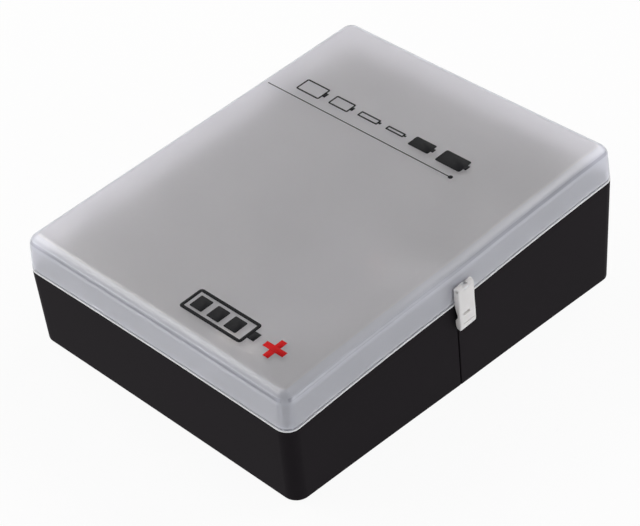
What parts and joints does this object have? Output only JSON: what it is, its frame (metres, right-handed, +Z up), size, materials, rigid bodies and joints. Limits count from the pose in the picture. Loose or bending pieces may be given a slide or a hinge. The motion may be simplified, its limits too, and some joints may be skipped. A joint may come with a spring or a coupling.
{
  "type": "battery storage case",
  "caption": "Wedge-shaped battery storage box with a frosted hinged lid, a side snap clip, lift-out cell trays and a cell tester with a sliding arm.",
  "frame": {"origin": "middle of the underside's bounding box, on the surface that the case stands on", "axes": "+X from the hinge side to the clip side, +Y from the low end to the high end, +Z up"},
  "size_m": [0.1622, 0.2034, 0.0727],
  "materials": {
    "black_shell": "smooth satin black moulding",
    "black_tray": "fine satin black moulding",
    "frosted_lid": "frosted translucent natural moulding",
    "natural_clip": "translucent natural moulding",
    "tester_grey": "fine grained dark grey moulding",
    "tester_black": "satin black moulding",
    "clear_lens": "clear moulded window",
    "dial_card": "printed card",
    "movement_body": "moulded meter body",
    "needle_red": "red lacquer",
    "bright_steel": "bright drawn steel",
    "nickel_contact": "nickel-plated strip",
    "board_green": "solder-masked board",
    "resistor_body": "ceramic body"
  },
  "bodies": {
    "base": {"base_shell": "black_shell", "rear_tray": "black_tray", "side_tray": "black_tray", "tester_cradle": "black_tray", "hinge_pin_front": "bright_steel", "hinge_pin_rear": "bright_steel", "tester_case_back": "tester_grey", "tester_case_top": "tester_grey", "tester_window": "clear_lens", "tester_dial": "dial_card", "tester_movement": "movement_body", "tester_arm_spring": "bright_steel", "tester_fixed_contact": "nickel_contact", "tester_block_socket": "nickel_contact", "tester_block_stud": "nickel_contact", "tester_circuit_board": "board_green", "tester_load_resistor": "resistor_body", "tester_case_screw_1": "bright_steel", "tester_case_screw_2": "bright_steel", "tester_case_screw_3": "bright_steel", "tester_case_screw_4": "bright_steel"},
    "lid": {"lid_shell": "frosted_lid", "latch_pin": "bright_steel"},
    "latch": {"latch_clip": "natural_clip"},
    "arm": {"tester_slide_arm": "tester_black", "tester_arm_contact": "nickel_contact"},
    "needle": {"tester_needle": "needle_red"}
  },
  "joints": [
    {"name": "lid_hinge", "type": "hinge", "parent": "base", "child": "lid", "pos_m": [-0.07905, -0.00192, 0.0473], "axis": [0, -0.9966, -0.0823], "range_deg": [0, 110]},
    {"name": "latch_hinge", "type": "hinge", "parent": "lid", "child": "latch", "pos_m": [0.07965, -0.00256, 0.05507], "axis": [0, -0.9966, -0.0823], "range_deg": [0, 70]},
    {"name": "arm_slide", "type": "slide", "parent": "base", "child": "arm", "axis": [0, -0.9966, -0.0823], "range_m": [0, 0.03], "stiffness_N_per_m": 40, "springref_m": -0.02, "deforming": ["tester_arm_spring"]},
    {"name": "needle_turn", "type": "hinge", "parent": "base", "child": "needle", "pos_m": [0.04035, -0.01217, 0.04384], "axis": [0, 0.0823, -0.9966], "range_deg": [0, 80], "stiffness_Nm_per_rad": 0.00002, "springref_deg": -17.19}
  ]
}
